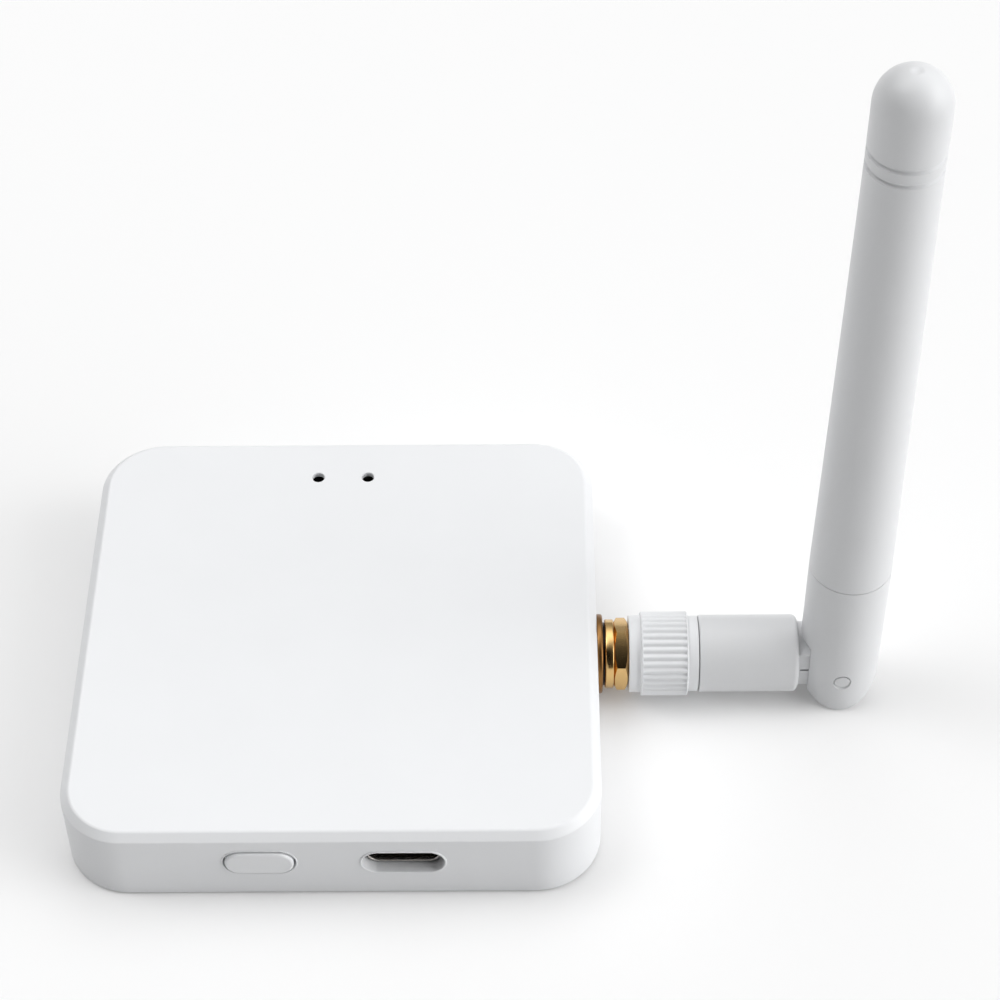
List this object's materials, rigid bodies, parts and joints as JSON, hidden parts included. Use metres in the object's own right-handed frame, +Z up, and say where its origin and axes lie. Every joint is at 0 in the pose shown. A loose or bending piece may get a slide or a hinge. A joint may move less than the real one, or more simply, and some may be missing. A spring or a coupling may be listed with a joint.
{
  "type": "bluetooth gateway",
  "caption": "Small square white tabletop gateway with a button and a USB-C port in front and a folding, swivelling stub antenna on its right side",
  "frame": {"origin": "centre of the case's underside, on the table", "axes": "+X from the case's left wall to its right wall, where the antenna is; +Y from the front wall, with the button and the port, to the back wall; +Z up"},
  "size_m": [0.101, 0.0654, 0.0985],
  "materials": {
    "case_white": "satin moulded, cool white",
    "antenna_white": "satin moulded, cool white",
    "button_white": "satin moulded, cool white",
    "gold_plate": "bright gold plating",
    "bronze_plate": "bright bronze plating",
    "dark_steel": "blackened",
    "bright_steel": "bright",
    "board_green": "solder mask over glass fibre",
    "module_blue": "solder mask over glass fibre",
    "black_plastic": "moulded black",
    "ceramic": "tan ceramic",
    "light_body": "clear over white",
    "white_insulator": "waxy white insulator",
    "coax_jacket": "thin dark jacket",
    "copper": "bare copper"
  },
  "bodies": {
    "case": {"upper_shell": "case_white", "base_plate": "case_white", "circuit_board": "board_green", "wifi_module_board": "module_blue", "wifi_module_shield": "bright_steel", "bluetooth_module_board": "module_blue", "bluetooth_module_shield": "bright_steel", "power_chip": "black_plastic", "power_inductor": "black_plastic", "capacitors": "ceramic", "status_lights": "light_body", "light_guard": "black_plastic", "switch_body": "black_plastic", "port_shell": "bright_steel", "port_insulator": "black_plastic", "port_contacts": "gold_plate", "coax_board_socket": "gold_plate", "coax_board_plug": "gold_plate", "pigtail_coax": "coax_jacket", "antenna_jack": "gold_plate", "jack_insulator": "white_insulator", "jack_contact": "gold_plate", "flat_washer": "bronze_plate", "lock_washer": "dark_steel", "spacer_ring": "gold_plate", "hex_nut": "gold_plate"},
    "button": {"button_cap": "button_white", "switch_plunger": "white_insulator"},
    "plug": {"plug_body": "gold_plate", "plug_insulator": "white_insulator", "plug_pin": "gold_plate", "plug_coax": "coax_jacket"},
    "coupling": {"coupling_nut": "gold_plate", "nut_cover": "antenna_white"},
    "sleeve": {"swivel_sleeve": "antenna_white"},
    "whip": {"whip_base": "antenna_white", "whip_tube": "antenna_white", "hinge_pin": "antenna_white", "whip_coax": "coax_jacket", "radiator_sleeve": "copper", "radiator_wire": "copper"}
  },
  "joints": [
    {"name": "button_press", "type": "slide", "parent": "case", "child": "button", "axis": [0, 1, 0], "range_m": [0, 0.0003], "stiffness_N_per_m": 5000},
    {"name": "plug_travel", "type": "slide", "parent": "case", "child": "plug", "axis": [1, 0, 0], "range_m": [0, 0.00406]},
    {"name": "nut_turn", "type": "hinge", "parent": "plug", "child": "coupling", "pos_m": [0.041, 0, 0.0056], "axis": [1, 0, 0], "range_deg": [0, 2070]},
    {"name": "antenna_swivel", "type": "hinge", "parent": "plug", "child": "sleeve", "pos_m": [0.0486, 0, 0.0056], "axis": [1, 0, 0], "continuous": true},
    {"name": "antenna_tilt", "type": "hinge", "parent": "sleeve", "child": "whip", "pos_m": [0.06342, 0, 0.0056], "axis": [0, 1, 0], "range_deg": [0, 90]}
  ],
  "couplings": [
    {"joint": "nut_turn", "follows": "plug_travel", "rad_per_m": 8905.3}
  ]
}
